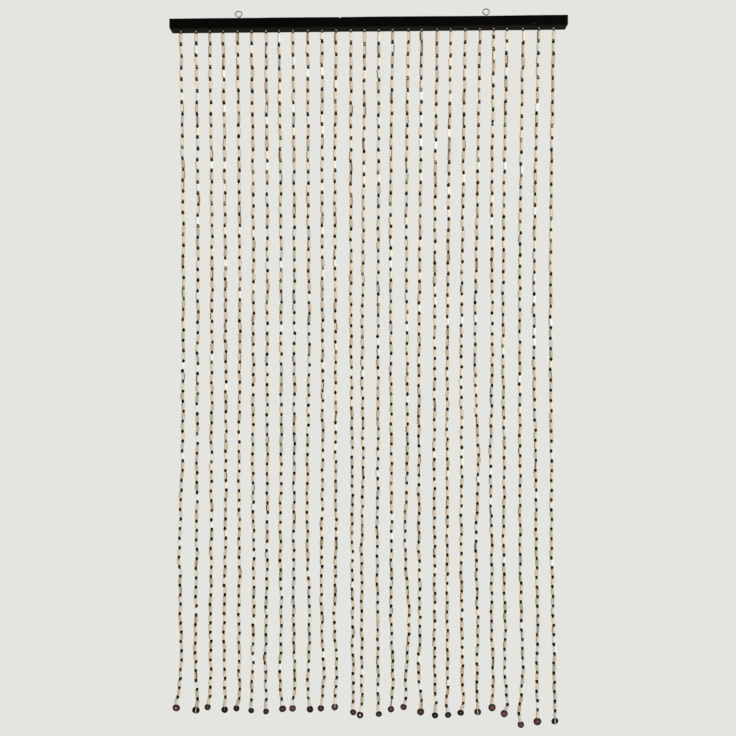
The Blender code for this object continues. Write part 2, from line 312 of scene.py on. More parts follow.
# %% The hang of each string
BATTEN_LENGTH = 0.899
BATTEN_DEPTH = 0.028
BATTEN_TOP = -0.0199
BATTEN_FOOT = -0.0416
HANG_TILT = math.radians(0.54)
ALONG_BATTEN = (0.0, HANG_TILT, 0.0)  # the turn of patterns that lie along it
GROOVE_LENGTH = 0.874
GROOVE_WIDTH = 0.0070
GROOVE_FLOOR = -0.0229
STRING_COUNT = 27
FIRST_STRING = -0.4278
STRING_PITCH = 0.0327
KNOT_ROOM = 1.3 * MM  # between the batten and a string's top
LEVELS = (-0.443, -0.818, -1.040, -1.204, -1.420, -1.508)
HANG = MM * np.array([
    # hole, chest, waist, hip, knee, ankle, heel, foot
    (1, 5, 5, 3, -3, 0, 0, -7),
    (3, 4, 3, 2, 1, -1, -1, 3),
    (1, 5, 5, 4, 4, 2, 3, 1),
    (-1, 4, 6, 6, 5, 2, 3, 5),
    (-1, 4, 5, 3, 4, 3, 4, 4),
    (-2, 4, 4, 3, 5, 4, 2, 0),
    (-2, 3, 3, 3, 3, 0, -1, 1),
    (-5, 4, 5, 5, 3, 5, 2, 6),
    (-6, 3, 3, 3, 2, 2, 4, 1),
    (-5, 1, 3, -1, -1, 4, 1, 1),
    (-5, 0, 1, 1, -1, 0, 4, 1),
    (-6, -3, -1, -1, 0, -3, 2, -2),
    (-5, 0, 1, 3, 3, 4, 5, 5),
    (-7, -2, -5, -3, -6, -6, -6, -6),
    (-7, -1, -2, -2, -4, -2, -2, -1),
    (-8, -5, -4, -3, -3, -3, 1, -2),
    (-5, -5, -3, -3, -8, 1, -6, -6),
    (-8, -3, -6, -6, -6, -4, -7, 0),
    (-5, -5, -6, -7, -6, -6, -6, -2),
    (-7, -5, -8, -8, -8, -8, -7, -10),
    (-7, -5, -9, -8, -9, -7, -6, -4),
    (-6, -6, -11, -4, -9, -5, -7, -7),
    (-7, -5, -4, -8, -5, -5, -2, -3),
    (-10, -7, -9, -6, -8, -4, -5, 1),
    (-6, -6, -8, -7, -7, -3, -1, -10),
    (-3, -9, -11, -7, -6, -3, -5, -3),
    (-2, -6, -7, -5, -5, 0, 1, 3),
])


def hung(along, level, y=0.0):
    """World place of a point of the batten, which hangs a little higher on the right."""
    x = along * math.cos(HANG_TILT) - level * math.sin(HANG_TILT)
    z = along * math.sin(HANG_TILT) + level * math.cos(HANG_TILT)
    return np.stack([x, y + 0 * x, z], axis=-1)


def smooth_curve(levels, places, at):
    """Cubic pieces through the places, each with the slope that its neighbours give it."""
    slopes = np.gradient(places, levels)
    piece = np.clip(np.searchsorted(-levels, -at) - 1, 0, len(levels) - 2)
    width = levels[piece + 1] - levels[piece]
    rise = places[piece + 1] - places[piece]
    share = (at - levels[piece]) / width
    leaving = slopes[piece] * width - rise
    arriving = rise - slopes[piece + 1] * width
    bend = share * (1 - share) * ((1 - share) * leaving + share * arriving)
    return places[piece] + share * rise + bend


numbers = np.arange(STRING_COUNT)
hole_places = FIRST_STRING + numbers * STRING_PITCH + HANG[:, 0]
string_tops = hung(hole_places, BATTEN_FOOT) - (0, 0, KNOT_ROOM)
hole_x = string_tops[:, 0]

disc_names = [f"disc_{number + 1:02d}" for number in numbers]
disc_boxes = np.array([[tuple(corner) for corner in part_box(name)] for name in disc_names])
disc_hubs = disc_boxes.mean(axis=1)
disc_radii = (disc_boxes[:, 1, 0] - disc_boxes[:, 0, 0]) / 2
print("strings", STRING_COUNT, "disc radii in mm", np.round(disc_radii / MM, 1))

# %% [markdown]
# ## Where the dark beads sit
# A tube and a dark bead make one pitch, about 27 mm under the batten and 21 mm near the floor in
# the photograph. The first pitch is longer, because it also holds the small bead under the batten.
# Two stringing slips show: one string has two dark beads together and a short first tube, and
# another has two tubes in a row. Each dark bead also sits a little to one side. The pitch's law and
# the drift from it come from the beads' heights, as a script measured them in the photograph and
# in a render.

# %% The joints of each string
DARK_BEADS = 65
PITCH_AT_TOP = 27.6
PITCH_AT_FOOT = 20.9
PITCH_POWER = 1.8
FIRST_PITCH_SHARE = 1.12
LAST_PITCH_SHARE = 0.90
WANDER_AT_TOP = 0.9 * MM
WANDER_GROWTH = 0.45 * MM  # for each metre down
SHORT_WAVE = 102.0  # radians for each metre of height
LONG_WAVE = 47.0
SHORT_PITCHES = {(22, 0): 0.65, (22, 8): 0.27}  # string and pitch, with the share that is left
LEFT_OUT = (14, 55)  # string and dark bead
DRIFT_AT = (0, 15, 35, 49, 63)  # dark beads, counted from 0
DRIFT = MM * np.array([
    # how far these five lie below an even run, string by string from the left
    (0, -9, -6, -2, 1), (-2, -4, -3, -2, 0), (-1, -4, -2, 0, 0), (0, -5, -8, -6, -4),
    (-2, -5, -5, -3, 2), (-1, 0, -2, -4, 0), (1, -2, -3, -3, -3), (3, -1, 1, 4, 3),
    (-1, 1, 0, 3, 1), (-1, 1, 2, 1, -1), (-4, -3, -8, -3, -4), (-1, -2, -1, 0, -1),
    (0, 2, 5, -2, 0), (3, 5, 2, 0, 0), (2, 1, 4, 6, -1), (-1, -1, 0, 2, -2),
    (0, 2, 3, 5, 5), (-1, 0, 2, 0, -1), (4, 5, 5, 4, -4), (3, 5, 5, 2, 4),
    (1, 4, 4, 3, 3), (1, 1, 1, -1, 0), (0, 0, -2, 2, -1), (-1, 2, 4, 6, 5),
    (3, 6, 7, 6, 0), (-1, -3, 0, 0, 0), (0, 2, 2, -1, 2),
])

share_down = np.arange(DARK_BEADS + 1) / DARK_BEADS
even_pitch = PITCH_AT_FOOT + (PITCH_AT_TOP - PITCH_AT_FOOT) * (1 - share_down) ** PITCH_POWER


def joint_heights(tops, feet):
    """World heights of all dark beads: the running sum of the pitches, fitted to the drop."""
    pitches = np.tile(even_pitch, (STRING_COUNT, 1))
    pitches[:, 0] *= FIRST_PITCH_SHARE
    pitches[:, -1] *= LAST_PITCH_SHARE
    for place, left in SHORT_PITCHES.items():
        pitches[place] *= left
    fall = np.cumsum(pitches, axis=1) / pitches.sum(axis=1, keepdims=True)
    even = tops[:, None] + (feet - tops)[:, None] * fall[:, :-1]
    drift = np.array([np.interp(np.arange(DARK_BEADS), DRIFT_AT, row) for row in DRIFT])
    return even - drift


def wander(number, level, phase):
    """A small sideways step that grows downwards, from two waves that never fall into step."""
    size = WANDER_AT_TOP + WANDER_GROWTH * -level
    short_wave = np.sin(SHORT_WAVE * level + 1.7 * number + phase)
    long_wave = np.sin(LONG_WAVE * level + 2.9 * number)
    return size * (short_wave + 0.6 * long_wave) / 1.6


def sways(heights):
    """How far each string is from its hole at each of its joints."""
    rows = []
    for top, places, levels in zip(string_tops[:, 2], HANG[:, 1:], heights):
        known = np.array([top, *LEVELS, levels[-1]])
        rows.append(smooth_curve(known, np.array([0.0, *places]), levels))
    return np.array(rows)


heights = joint_heights(string_tops[:, 2], disc_hubs[:, 2] + disc_radii)
string_of = np.repeat(numbers[:, None], DARK_BEADS, axis=1)
joint_x = hole_x[:, None] + sways(heights) + wander(string_of, heights, 0.0)
joints = np.stack([joint_x, wander(string_of, heights, 1.3), heights], axis=-1)
joints[:, -1, 0] = hole_x + HANG[:, -1]
joints[:, -1, 1] = 0.0
print("first pitch in mm", np.round((joints[0, 0, 2] - joints[0, 1, 2]) / MM, 1))

# %% [markdown]
# ## The discs' own directions
# A disc hangs loosely on its knot, so each turns a few degrees its own way. Its cord runs along
# these directions too, so they are worked out before both. up points from the hub to the string,
# back points through the disc, away from the viewer.

# %% Directions of the discs
DISC_TURN = math.radians(9)
TUBE_TO_DISC = 1.1 * MM
chance = np.random.default_rng(27)

yaw, pitch = DISC_TURN * chance.uniform(-1, 1, (2, STRING_COUNT))
disc_back = np.stack([np.sin(yaw) * np.cos(pitch), np.cos(yaw) * np.cos(pitch), np.sin(pitch)], axis=1)
level_hubs = disc_hubs * (1, 0, 1)
run_up = lengthwise(joints[:, -1] - level_hubs)
disc_up = lengthwise(run_up - (run_up * disc_back).sum(axis=1, keepdims=True) * disc_back)
disc_across = np.cross(disc_up, disc_back)
string_feet = level_hubs + run_up * (disc_radii + TUBE_TO_DISC)[:, None]
stops = np.concatenate([string_tops[:, None], joints, string_feet[:, None]], axis=1)
print("stops on a string", stops.shape[1])

# %% [markdown]
# ## Beads by the hundred
# A bead is a closed profile turned about its own axis: out along the wall, over the end, back
# through the bore. All beads of a kind share one grid, and each has its own place, direction,
# girth and roll. Only a few dozen faces each keeps three and a half thousand of them light.

# %% Turn profiles into beads
def bead_points(centres, axes, rolls, ring_heights, ring_radii, sides, ovals):
    """Point (bead, ring, side) = centre + axis * height + radius * (cos * across + sin * over).

    The radius swells by the bead's oval share times the cosine of twice the angle.
    """
    across = lengthwise(np.cross(axes, (0.0, 1.0, 0.0)))
    over = np.cross(across, axes)
    angles = ring_angles(sides)[None, :] + rolls[:, None]
    swell = 1 + ovals[:, None] * np.cos(2 * ring_angles(sides))[None, :]
    radii = ring_radii[:, :, None] * swell[:, None, :]
    outward = np.cos(angles)[..., None] * across[:, None] + np.sin(angles)[..., None] * over[:, None]
    spine = centres[:, None] + axes[:, None] * ring_heights[..., None]
    return spine[:, :, None] + radii[..., None] * outward[:, None]


STRINGS_A_PIECE = 3


def make_beads(name, points, marks, owners, finish):
    """One piece for every few strings, so that no piece is too heavy to bake well."""
    rings, sides = points.shape[1:3]
    one = grid_faces(rings, sides, True, True)
    for piece in range(STRING_COUNT // STRINGS_A_PIECE):
        chosen = owners // STRINGS_A_PIECE == piece
        faces = copies_of(one, int(chosen.sum()), rings * sides)
        own = {mark: np.broadcast_to(value, points.shape[:3])[chosen] for mark, value in marks.items()}
        label = f"{name}_{piece + 1:02d}"
        make_piece(label, points[chosen], faces, finish, ("bead_strings",), own)


# %% [markdown]
# ## Dark beads
# Small dark wooden beads with rounded ends, lacquered near-black. The lacquer is thin on some and
# lets red-brown wood show, and about one in ten, but none near the floor, is a greyish, mottled
# seed colour. The lower ones are the darkest. A smaller, redder one heads each string.

# %% Places and sizes of the dark beads
DARK_LENGTH_AT_TOP = 8.8 * MM
DARK_LENGTH_AT_FOOT = 7.8 * MM
DARK_RADIUS = 3.45 * MM
BEAD_GAP = 0.25 * MM
TWO_TOGETHER = (22, slice(7, 9))  # string and dark beads
SHORT_DARK_LENGTH = 6.4 * MM
HEAD_BEAD_LENGTH = 4.6 * MM
HEAD_BEAD_RADIUS = 2.7 * MM
HEAD_BEAD_DROP = 5.3 * MM  # of its middle, below the string's top
LENGTH_SPREAD = 0.08  # shares, each way
GIRTH_SPREAD = 0.10
LEAN_SPREAD = 0.07
PALER_SHARE = ((0.55, 0.8), (1.0, 0.86))  # share of the way down, and how much of the hue is left
DARKENING = 0.8  # share of the tone lost at the foot

runs = stops[:, 1:] - stops[:, :-1]
run_lengths = np.linalg.norm(runs, axis=-1)
directions = runs / run_lengths[..., None]
usual_length = np.linspace(DARK_LENGTH_AT_TOP, DARK_LENGTH_AT_FOOT, DARK_BEADS)
dark_lengths = usual_length * (1 + LENGTH_SPREAD * chance.uniform(-1, 1, joints.shape[:2]))
dark_lengths[TWO_TOGETHER] = SHORT_DARK_LENGTH
dark_lengths[LEFT_OUT] = 0.0
dark_radii = DARK_RADIUS * (1 + GIRTH_SPREAD * chance.uniform(-1, 1, joints.shape[:2]))
dark_axes = lengthwise(directions[:, :-1] + directions[:, 1:])
dark_axes = lengthwise(dark_axes + LEAN_SPREAD * chance.uniform(-1, 1, dark_axes.shape))
lower_down = np.linspace(0.0, 1.0, DARK_BEADS)
dark_hue = chance.uniform(0, 1, joints.shape[:2]) * np.interp(lower_down, *PALER_SHARE)
dark_tone = chance.uniform(0, 1, joints.shape[:2]) * (1 - DARKENING * lower_down)
print("dark beads", dark_lengths.size - 1)
print("string lengths in mm, hole to disc", np.round(run_lengths.sum(axis=1) / MM).astype(int))

# %% The finish of the dark beads
dark = Finish("dark_lacquered_wood", {"Specular IOR Level": 0.04})
grain = dark.noise(dark.places((1.0, 1.0, 0.25)), 900, 3.0, 0.6)
mottle = dark.noise(dark.places(), 420, 2.0)
hue = dark.mark("hue")
tone = dark.mark("tone")
lacquer = dark.mix(tone, ink(18, 10, 4), ink(76, 52, 20))
reddish = dark.mix(grain.step(0.35, 0.7), ink(84, 52, 24), ink(54, 32, 13))
seed = dark.mix(mottle.step(0.48, 0.6), ink(58, 44, 26), ink(168, 156, 130))
worn = dark.mark("edge") * mottle.step(0.5, 0.66) * 0.55
colour = dark.coat(
    lacquer, (hue.step(0.70, 0.82), reddish), (hue.step(0.88, 0.90), seed), (worn, ink(112, 74, 52))
)
dark_finish = dark.feed(colour, Roughness=0.30 + 0.25 * mottle, Normal=dark.bump(grain, 0.00012, 0.5))

# %% Turn the dark beads
DARK_SIDES = 9
# share of the half length, and share of the greatest radius; the last ring is the bore's
DARK_PROFILE = np.array([(0.20, 1.0), (0.58, 0.86), (0.86, 0.58), (1.0, 0.28)])
DARK_OWNERS = np.concatenate([string_of.ravel(), numbers])


def with_heads(values, of_heads):
    """The values of all the dark beads, then those of the small beads that head the strings."""
    each = values.shape[2:]
    return np.concatenate([values.reshape(-1, *each), np.broadcast_to(of_heads, (STRING_COUNT, *each))])


head_middles = stops[:, 0] + directions[:, 0] * HEAD_BEAD_DROP
all_lengths = with_heads(dark_lengths, HEAD_BEAD_LENGTH)
made_dark = all_lengths > 0
halves = all_lengths[made_dark] / 2
girths = with_heads(dark_radii, HEAD_BEAD_RADIUS)[made_dark]
rings = np.concatenate([DARK_PROFILE * (-1, 1), DARK_PROFILE[::-1]])
dark_points = bead_points(
    with_heads(joints, head_middles)[made_dark],
    with_heads(dark_axes, directions[:, 0])[made_dark],
    chance.uniform(0, 2 * math.pi, girths.size),
    halves[:, None] * rings[:, 0],
    girths[:, None] * rings[:, 1],
    DARK_SIDES,
    0.03 * chance.uniform(-1, 1, girths.size),
)
dark_marks = {
    "hue": with_heads(dark_hue, 0.80)[made_dark][:, None, None],
    "tone": with_heads(dark_tone, 0.5)[made_dark][:, None, None],
    "edge": np.abs(rings[:, 0])[None, :, None] ** 3,
}
make_beads("dark_beads", dark_points, dark_marks, DARK_OWNERS[made_dark], dark_finish)

# %% [markdown]
# ## Tube beads
# Lengths of thin pale cane, sawn square and threaded through their hollow middle. Each fills the
# space between two dark beads, leans a little because its bore is wider than the cord, and has its
# own colour from khaki through cream to a pinkish tan. A few are bleached almost white. Each has a
# broad painted shade down one side, and nearly half also have a deep dark streak there that is partly
# a real streak and partly painted shade; that side is most often the left, away from the key lamp.

# %% Places and sizes of the tubes
TUBE_RADIUS = 3.85 * MM
TUBE_BORE = 2.3 * MM
TUBE_CHAMFER = 0.4 * MM
TUBE_SHIFT = 1.1 * MM  # off the cord, each way
TUBE_LEAN = 0.05
SHORTEST_TUBE = 3 * MM

none = np.zeros((STRING_COUNT, 1))
head_room = HEAD_BEAD_DROP + HEAD_BEAD_LENGTH / 2 + BEAD_GAP
ahead = np.concatenate([none + head_room, dark_lengths / 2 + BEAD_GAP], axis=1)
behind = np.concatenate([dark_lengths / 2 + BEAD_GAP, none], axis=1)
tube_lengths = run_lengths - ahead - behind
tube_middles = stops[:, :-1] + directions * (ahead + tube_lengths / 2)[..., None]
tube_middles = tube_middles + TUBE_SHIFT * chance.uniform(-1, 1, tube_middles.shape) * (1, 1, 0)
tube_axes = lengthwise(directions + TUBE_LEAN * chance.uniform(-1, 1, directions.shape) * (1, 1, 0))
tube_owner = np.repeat(numbers[:, None], DARK_BEADS + 1, axis=1)
whole = tube_lengths > SHORTEST_TUBE
print("tubes", int(whole.sum()), "longest in mm", round(float(tube_lengths.max() / MM), 1))

# %% The finish of the tubes
cane = Finish("pale_cane", {"Specular IOR Level": 0.35})
fibres = cane.noise(cane.places((1.0, 1.0, 0.035)), 1500, 3.0, 0.6)
blotches = cane.noise(cane.places((1.0, 1.0, 0.35)), 160, 2.0)
tint = cane.mark("tint")
tone = cane.mark("tone")
colour = cane.coat(
    ink(204, 189, 160),
    (tint.step(0.0, 0.42), ink(238, 225, 208)),
    (tint.step(0.55, 1.0), ink(221, 195, 172)),
    (tone.step(0.88, 0.95), ink(240, 234, 224)),
    (fibres.step(0.46, 0.72) * 0.34, ink(174, 140, 96)),
    # a dark streak down one side, partly real and partly painted shade on the side away from the key lamp
    (cane.mark("stripe") * (0.45 + 0.75 * blotches), ink(100, 72, 40)),
    (cane.mark("cut") * (0.35 + 0.5 * fibres), ink(136, 94, 50)),
)
brightness = 0.745 + 0.30 * tone
grey = cane.start.node("ShaderNodeCombineColor", inputs={0: brightness, 1: brightness, 2: brightness})
colour = cane.mix(1.0, colour, grey, "MULTIPLY")
cane_finish = cane.feed(colour, Roughness=0.42 + 0.25 * fibres, Normal=cane.bump(fibres, 0.00015, 0.6))

# %% Turn the tubes
TUBE_SIDES = 12
# The dark streaks are partly painted shade, so most lie on the left, away from the key lamp on the right.
SHADE_STREAKS_ON_LEFT = 0.72  # shares of the tubes
SHADE_STREAKS_AT_AN_EDGE = 0.7
DEEP_SHADE_STREAKS = 0.45
halves = tube_lengths[whole] / 2
count = halves.size
girths = TUBE_RADIUS * (1 + 0.07 * chance.uniform(-1, 1, count))
far_girths = girths * (1 + 0.05 * chance.uniform(-1, 1, count))
bores = TUBE_BORE * (1 + 0.15 * chance.uniform(-1, 1, count))
shoulder = halves - TUBE_CHAMFER
# The streak of painted shade starts at the tube's right and is rolled round: mostly to the left, a little in
# front.
on_left = chance.uniform(0, 1, count) < SHADE_STREAKS_ON_LEFT
edge_roll = np.where(on_left, math.pi, 0.0) + 0.6 * chance.normal(0, 1, count)
any_roll = chance.uniform(0, 2 * math.pi, count)
tube_points = bead_points(
    tube_middles[whole],
    tube_axes[whole],
    np.where(chance.uniform(0, 1, count) < SHADE_STREAKS_AT_AN_EDGE, edge_roll, any_roll),
    np.stack([-shoulder, shoulder, halves, halves, -halves, -halves], axis=1),
    np.stack([girths, far_girths, far_girths - TUBE_CHAMFER, bores, bores, girths - TUBE_CHAMFER], axis=1),
    TUBE_SIDES,
    0.05 * chance.uniform(-1, 1, count),
)
outer_rings = np.array([1.0, 1.0, 0.8, 0.0, 0.0, 0.8])[None, :, None]
shade_streak_width = chance.uniform(0.32, 0.58, count)[:, None]
off_shade_streak = np.minimum(ring_angles(TUBE_SIDES), 2 * math.pi - ring_angles(TUBE_SIDES))[None, :]
deep_shade_streak = chance.uniform(0, 1, count) < DEEP_SHADE_STREAKS
shade_streak_depth = np.where(deep_shade_streak, 1.1, 0.3) * chance.uniform(0.7, 1.2, count)
streaks_and_shade = shade_streak_depth[:, None] * np.exp(-((off_shade_streak / shade_streak_width) ** 2))
# a broad painted shade over the same side of every tube
streaks_and_shade = streaks_and_shade + 0.22 * np.exp(-((off_shade_streak / 1.3) ** 2))
tube_marks = {
    "tint": chance.uniform(0, 1, count)[:, None, None],
    "tone": chance.uniform(0, 1, count)[:, None, None],
    "stripe": streaks_and_shade[:, None, :] * outer_rings,
    "cut": np.array([0.0, 0.0, 0.6, 1.0, 1.0, 0.6])[None, :, None],
}
make_beads("tube_beads", tube_points, tube_marks, tube_owner[whole], cane_finish)

# %% [markdown]
# ## The cord
# One cotton cord holds each string. It is tied above the tape in the batten's groove, goes down
# through the hole and all the beads, and ends at the disc in one of three ways that the photograph
# shows: behind the disc and out at the front to a knot, over the front and in at the hole, or right
# round the disc.

# %% The path of each cord
CORD_RADIUS = 0.6 * MM
TAPE_THICKNESS = 1.4 * MM
CLEARANCE = 0.3 * MM
TAPE_TOP = GROOVE_FLOOR + CLEARANCE + TAPE_THICKNESS
DISC_HALF = 1.1 * MM
OVER_DISC = DISC_HALF + CORD_RADIUS
TAIL_STYLES = "BABFFFBBBFFFBBBBFBBBBABFBFA"  # Behind, over the Front, or All the way round
PALE_TAILS = (0, 1, 11, 13, 21, 26)  # strings whose cord at the disc isn't dark with wear
PALE_SPREAD = 1.5  # how much wider their untwisted plies lie there
# six places each: how far along up, as a share of the disc's radius and in mm, and how far through it
TAILS = {
    "B": (
        (1.0, 0.5, 0.4), (0.8, 0.9, 1.3), (0.45, 0.3, 1.0),
        (0.0, 0.4, 0.75), (0.0, 0.0, 0.0), (0.0, 0.0, -1.0),
    ),
    "F": (
        (1.0, 0.4, -0.6), (0.8, 0.0, -1.0), (0.45, 0.0, -1.06),
        (0.0, 0.5, -0.8), (0.0, 0.0, 0.0), (0.0, 0.0, 1.0),
    ),
    "A": (
        (1.0, 0.3, -0.7), (0.6, 0.0, -1.05), (-0.1, 0.0, -1.1),
        (-0.7, 0.0, -1.05), (-1.0, -0.7, 0.0), (-0.4, 0.0, 1.05),
    ),
}
TAIL_STOPS = 6


def tail_points(number):
    """The last points of a cord, in its disc's own directions."""
    steps = np.array(TAILS[TAIL_STYLES[number]])
    rise = steps[:, 0] * disc_radii[number] + steps[:, 1] * MM
    through = steps[:, 2] * OVER_DISC
    return disc_hubs[number] + rise[:, None] * disc_up[number] + through[:, None] * disc_back[number]


tails = np.array([tail_points(number) for number in numbers])
roots = hung(hole_places, TAPE_TOP + CORD_RADIUS)
cord_paths = np.concatenate([roots[:, None], stops, tails], axis=1)
print("stations on a cord", cord_paths.shape[1])

# %% [markdown]
# Cotton cord is twisted from plies, which show as slanting ridges. The cords hang almost straight
# down, so ridges slanting through space in all three directions look right from every side, and
# need no unwrapping of so long and thin a tube. At most discs the cord is dark with wear.

# %% The finish of the cord
PLY_PITCH = 1.3 * MM

cotton = Finish("waxed_cotton_cord", {"Specular IOR Level": 0.15, "Roughness": 0.85})
where = cotton.places()
slant = cotton.axis(where, "X") + cotton.axis(where, "Y") + cotton.axis(where, "Z")
plies = (slant * (2 * math.pi / PLY_PITCH)).wave() * 0.5 + 0.5
fuzz = cotton.noise(where, 1800, 2.0)
colour = cotton.coat(
    ink(176, 150, 136),
    # paler on the ridges: the grooves between the plies are darker as painted shade
    (plies.step(0.0, 0.6), ink(240, 222, 212)),
    (cotton.noise(where, 60).step(0.4, 0.75) * 0.4, ink(196, 168, 154)),
    (cotton.mark("worn_dark"), ink(54, 32, 28)),
)
cotton_finish = cotton.feed(colour, Normal=cotton.bump(plies + 0.5 * fuzz, 0.0002, 0.7))

# %% Make the cords
CORD_SIDES = 6
TAIL_WEAR = 0.85
COTTON_CREASE = 80


def cotton_piece(name, points, faces, wear, weld=True):
    """A piece of cord. wear, of each tube or station, is 0 where it is pale and 1 where dark."""
    marks = {"worn_dark": np.broadcast_to(wear, points.shape[:3])}
    make_piece(name, points, faces, cotton_finish, ("bead_strings",), marks, weld, COTTON_CREASE)


cord_girths = np.full(cord_paths.shape[:2], CORD_RADIUS)
cord_girths[list(PALE_TAILS), 1 - TAIL_STOPS : -1] *= PALE_SPREAD
path, girth = taper_shut(cord_paths, cord_girths)
cord_points = tube_along(path, girth, CORD_SIDES, (1.0, 0.0, 0.0))
tail_wear = np.full(STRING_COUNT, TAIL_WEAR)
tail_wear[list(PALE_TAILS)] = 0.0
cord_wear = np.zeros((STRING_COUNT, path.shape[1], 1))
cord_wear[:, -TAIL_STOPS:] = tail_wear[:, None, None]
cotton_piece("cords", cord_points, tube_faces(path.shape[1], CORD_SIDES, STRING_COUNT), cord_wear)

# %% [markdown]
# ## Knots
# An overhand knot with its ends pulled in is a trefoil: a closed curve that goes twice round while
# it dips three times. One formula gives all of them: on the tape above each hole, under the batten
# where each string starts, and at each disc.

# %% Make the knots
KNOT_SCALE = 0.42 * MM
KNOT_STATIONS = 30
KNOT_SIDES = 6
KNOTS = 3 * STRING_COUNT
BIG_KNOT = (2 * STRING_COUNT + 13, 1.7)  # its number and how much bigger it is


def knots(centres, facing, sizes):
    """Trefoil paths: sin t + 2 sin 2t across, cos t - 2 cos 2t up and -1.3 sin 3t along facing."""
    turn = ring_angles(KNOT_STATIONS)[:, None]
    across = lengthwise(np.cross(facing, (1.0, 0.3, 0.7)))
    up = np.cross(facing, across)
    local = (np.sin(turn) + 2 * np.sin(2 * turn)) * across[:, None]
    local = local + (np.cos(turn) - 2 * np.cos(2 * turn)) * up[:, None]
    local = local - 1.3 * np.sin(3 * turn) * facing[:, None]
    return centres[:, None] + sizes[:, None, None] * local


style_side = np.array([-1.0 if style == "B" else 1.0 for style in TAIL_STYLES])
end_hubs = disc_hubs + disc_back * (style_side * (OVER_DISC + 0.5 * MM))[:, None]
upright = np.tile((0.0, 0.0, 1.0), (STRING_COUNT, 1))
knot_middles = np.concatenate([roots + (0, 0, 0.4 * MM), string_tops - (0, 0, 1.0 * MM), end_hubs])
knot_facing = np.concatenate([upright, upright, disc_back])
knot_sizes = KNOT_SCALE * chance.uniform(0.9, 1.15, KNOTS)
knot_sizes[BIG_KNOT[0]] *= BIG_KNOT[1]
knot_wear = np.concatenate([np.zeros(2 * STRING_COUNT), tail_wear])[:, None, None]
knot_paths = knots(knot_middles, knot_facing, knot_sizes)
forward = lengthwise(np.roll(knot_paths, -1, axis=1) - np.roll(knot_paths, 1, axis=1))
girth = (0.95 * CORD_RADIUS * knot_sizes / KNOT_SCALE)[:, None]
knot_points = rings_along(knot_paths, forward, girth, KNOT_SIDES, knot_facing[:, None])
cotton_piece("knots", knot_points, tube_faces(KNOT_STATIONS, KNOT_SIDES, KNOTS, True), knot_wear, False)

# %% [markdown]
# ## Frayed ends
# Here and there a fibre stands out from a string: by the first disc, part-way down four strings and
# under the batten. Each is a fine hair that starts on its cord and curls outwards.

# %% Make the hairs
HAIR_RADIUS = 0.16 * MM
HAIR_STATIONS = 14
HAIR_SIDES = 4
DARK_HAIRS = 3  # the first three, by the first disc, are as dark as its cord is elsewhere
# string, stop on it, then the hair's reach right and down in mm, and how far it bows
HAIRS = (
    (0, 65, -18, 13, 4),
    (0, 65, 13, -3, 4),
    (0, 65, -9, 9, 3),
    (6, 15, 9, 5, 4),
    (12, 47, -11, 8, 4),
    (20, 0, 8, 3, -3),
    (17, 30, 7, 6, 3),
    (24, 50, -7, 5, 3),
)


def hair_path(string, stop, right, down, bow):
    """A straight reach plus a bow that is greatest half-way, as four times s times 1 - s."""
    share = np.linspace(0.0, 1.0, HAIR_STATIONS)
    bowed = 4 * share * (1 - share) * bow * MM
    forwards = -CORD_RADIUS - 0.5 * bowed
    return stops[string, stop] + np.stack([share * right * MM, forwards, -share * down * MM - bowed], axis=1)


hair_paths = np.array([hair_path(*row) for row in HAIRS])
hair_girth = HAIR_RADIUS * np.linspace(1.0, 0.5, HAIR_STATIONS)
path, girth = taper_shut(hair_paths, np.tile(hair_girth, (len(HAIRS), 1)))
hair_points = tube_along(path, girth, HAIR_SIDES, (0.0, 1.0, 0.2))
hair_wear = np.where(np.arange(len(HAIRS)) < DARK_HAIRS, TAIL_WEAR, 0.0)[:, None, None]
cotton_piece("frayed_ends", hair_points, tube_faces(path.shape[1], HAIR_SIDES, len(HAIRS)), hair_wear)

# %% [markdown]
# ## The heading tape
# The strings are tied to a narrow woven tape that lies in a groove along the batten's top. Its
# cross-section is a flat rounded bar, carried along the batten with a slight ripple.

# %% Make the tape
TAPE_LENGTH = 0.872
TAPE_WIDTH = 6.0 * MM
TAPE_STATIONS = 220
TAPE_CORNER = 0.45 * MM
webbing = Finish("heading_tape", {"Specular IOR Level": 0.1, "Roughness": 0.9})
where = webbing.places(turn=ALONG_BATTEN)
warp = (webbing.axis(where, "Y") * (2 * math.pi / (0.7 * MM))).wave()
weft = (webbing.axis(where, "X") * (2 * math.pi / (0.9 * MM))).wave()
weave = warp * weft
# darker where the weave dips: painted shade between the threads
colour = webbing.mix(weave.step(-0.6, 0.8), ink(120, 104, 86), ink(196, 180, 156))
webbing_finish = webbing.feed(colour, Normal=webbing.bump(weave, 0.0002, 0.8))


def quarter(start, radius, points):
    """Points of a quarter circle about 0, from the angle start, with its ends."""
    turn = start + np.linspace(0.0, math.pi / 2, points)
    return radius * np.stack([np.cos(turn), np.sin(turn)], axis=1)


def rounded_bar(width, height, corner, points):
    """Points round a flat bar: straight sides joined by quarter circles."""
    reach = np.array([width, height]) / 2 - corner
    corners = enumerate(((1, 1), (-1, 1), (-1, -1), (1, -1)))
    return np.concatenate([reach * side + quarter(n * math.pi / 2, corner, points) for n, side in corners])


